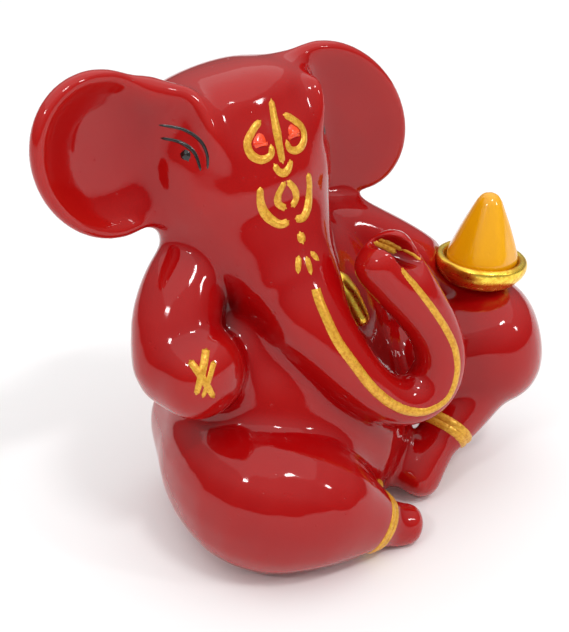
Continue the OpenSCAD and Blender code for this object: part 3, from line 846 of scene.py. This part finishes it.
DISH = through([(0.6, -4.4), (4.9, -4.4), (6.4, -3.9), (7.3, -2.9), (7.75, -2.3), (8.1, -1.5), (8.2, -0.8),
                (8.05, -0.1), (7.6, 0.25), (7, 0.25), (6.6, -0.2), (6.4, -0.9), (6, -1.3), (3, -1.4),
                (0.6, -1.4)], 80)
finish_piece("gilded_dish", turned("gilded_dish", DISH.tolist(), 96), gold_lustre, ["dish"])
SWEET = through([(0.6, -1.35), (4.8, -1.35), (6, -0.8), (6.25, 0.3), (5.95, 1.6), (5.45, 3), (4.75, 4.8),
                 (4, 6.6), (3.2, 8.4), (2.6, 9.7), (2.1, 10.7), (1.35, 11.6), (0.35, 12)], 80)
FLUTE, FLUTES_END = 0.13, 0.8    # half depth of a flute in mm, and where up the profile the flutes fade out
finish_piece("fluted_sweet", turned("fluted_sweet", SWEET.tolist(), 120, flutes=7,
                                    depth=lambda t: FLUTE * math.sin(math.pi * min(t / FLUTES_END, 1)) ** 2),
             yellow_glaze, ["sweet"])
bpy.data.objects.remove(canvas)

# %% [markdown]
# ## Floor and light
# The figure stands on a plain pale table. A large soft light gives the even light of a small white room,
# and small bright lamps above and in front give the crisp highlights that tell the eye that the surface
# is glass.

# %% Floor
floor_mesh = bpy.data.meshes.new("floor")
floor_mesh.from_pydata([(-3, -3, 0), (3, -3, 0), (3, 3, 0), (-3, 3, 0)], [], [(0, 1, 2, 3)])
floor = bpy.data.objects.new("floor", floor_mesh)
bpy.context.scene.collection.objects.link(floor)
pale, _, pale_shader = material("pale matt board")
pale_shader.inputs["Base Color"].default_value = linear("fafafa")
pale_shader.inputs["Roughness"].default_value = 0.9
floor_mesh.materials.append(pale)

# %% Lights
world = bpy.data.worlds.new("room")
world.use_nodes = True
room = world.node_tree
room.nodes.clear()
upward = put(room, "ShaderNodeSeparateXYZ", {0: put(room, "ShaderNodeTexCoord").outputs["Generated"]})
fade = put(room, "ShaderNodeMapRange", {"Value": upward.outputs["Z"], "From Min": -0.1, "From Max": 0.9,
                                        "To Min": 0.14, "To Max": 0.8}, interpolation_type="SMOOTHSTEP")
sky = put(room, "ShaderNodeBackground", {"Color": linear("ffffff"), "Strength": fade.outputs[0]})
put(room, "ShaderNodeOutputWorld", {"Surface": sky.outputs[0]})
bpy.context.scene.world = world


def lamp(name, turn, rise, distance, size, share):
    """A lamp of size (across, up) metres aimed at the figure. share is its part of a full white floor."""
    data = bpy.data.lights.new(name, "AREA")
    data.shape, data.size, data.size_y = "RECTANGLE", size[0], size[1]
    t, r = math.radians(turn), math.radians(rise)
    data.energy = share * math.pi ** 2 * distance ** 2 / math.sin(r)
    made = bpy.data.objects.new(name, data)
    bpy.context.scene.collection.objects.link(made)
    out = Vector((math.sin(t) * math.cos(r), -math.cos(t) * math.cos(r), math.sin(r)))
    made.location = AIM + out * distance
    made.rotation_euler = (-out).to_track_quat("-Z", "Y").to_euler()
    return made


lamp("sky_panel", 160, 78, 1.3, (2.6, 2.6), 0.62)
lamp("window_lamp", 4, 58, 1.0, (0.20, 0.08), 0.17)
lamp("right_lamp", -70, 43, 1.0, (0.15, 0.06), 0.08)
lamp("left_lamp", 33, 31, 1.0, (0.07, 0.12), 0.05)
